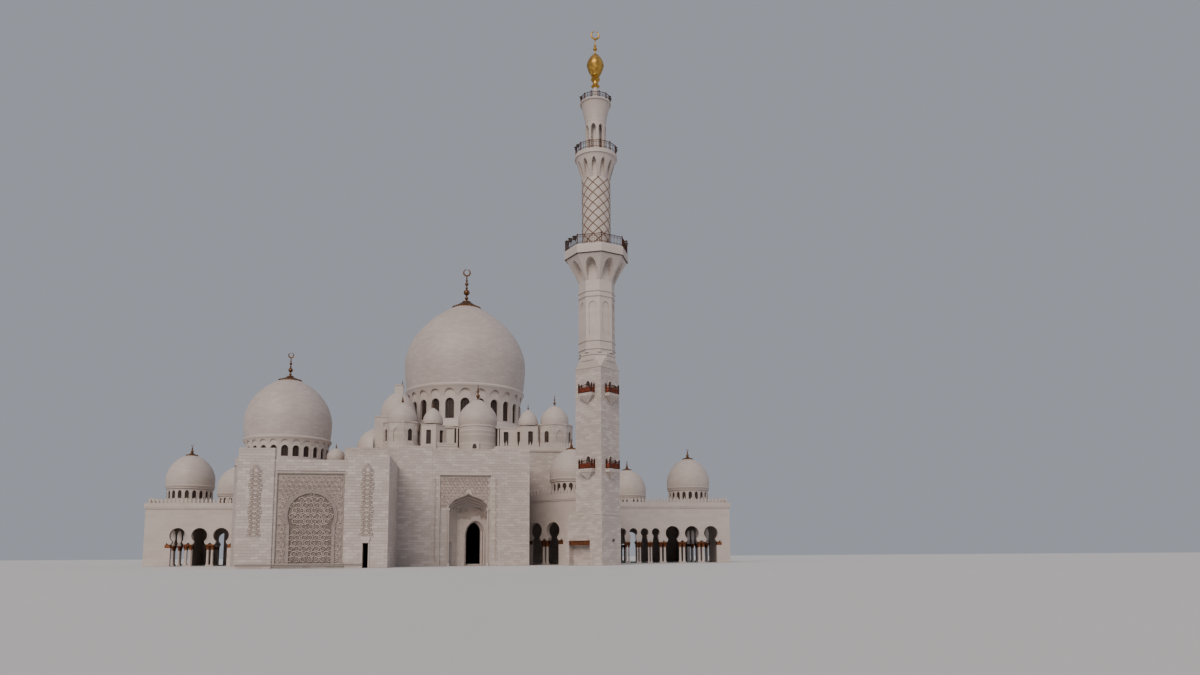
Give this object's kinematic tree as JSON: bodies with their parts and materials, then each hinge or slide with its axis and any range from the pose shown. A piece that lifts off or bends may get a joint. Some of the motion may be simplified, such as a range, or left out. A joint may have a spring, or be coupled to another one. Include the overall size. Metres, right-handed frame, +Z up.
{
  "type": "mosque building, 1:10 scale model",
  "caption": "Marble mosque with domes on windowed drums, arcade wings with horseshoe arches, a hooded portal, a carved front block and a tall galleried minaret.",
  "frame": {"origin": "centre of the footprint, on the ground", "axes": "+X right along the front as seen from outside, +Y from the front to the back, +Z up"},
  "size_m": [13.51, 11.84, 10.691],
  "materials": {
    "ashlar": "matte",
    "marble": "satin",
    "roofing": "matte",
    "gold": "satin",
    "bronze": "satin"
  },
  "bodies": {
    "root": {"panel_front_wall": "ashlar", "panel_left_wall": "ashlar", "panel_right_wall": "ashlar", "portal_front_wall": "ashlar", "portal_left_wall": "ashlar", "portal_right_wall": "ashlar", "hall_left_wall": "ashlar", "hall_step_wall": "ashlar", "hall_front_wall": "ashlar", "hall_back_and_right_wall": "ashlar", "rear_block": "ashlar", "main_dome": "ashlar", "left_dome": "ashlar", "minaret_base": "ashlar", "minaret_square_shaft": "ashlar", "portal_niche": "marble", "main_drum": "marble", "left_drum": "marble", "small_dome": "marble", "turret_left": "marble", "turret_right": "marble", "lantern_left": "marble", "lantern_right": "marble", "centre_dome": "marble", "roof_railing": "marble", "roof_railing_left": "marble", "half_dome_upper": "marble", "half_dome_lower": "marble", "left_wing_front": "marble", "left_wing_outer_walls": "marble", "right_wing_front": "marble", "right_wing_outer_walls": "marble", "dome_left_front": "marble", "dome_left_rear": "marble", "dome_right_front": "marble", "dome_right_rear": "marble", "link_front": "marble", "link_side": "marble", "dome_link": "marble", "minaret_octagon_shaft": "marble", "minaret_lattice_shaft": "marble", "minaret_arched_stage": "marble", "minaret_gallery_1": "marble", "minaret_gallery_2": "marble", "minaret_gallery_3": "marble", "panel_roof": "roofing", "portal_roof": "roofing", "hall_low_roof": "roofing", "hall_high_roof": "roofing", "hall_floor": "roofing", "left_wing_roof": "roofing", "right_wing_roof": "roofing", "link_roof": "roofing", "main_finial": "gold", "left_finial": "gold", "minaret_finial": "gold", "minaret_railing_1": "bronze", "minaret_railing_2": "bronze", "minaret_railing_3": "bronze"}
  },
  "joints": []
}
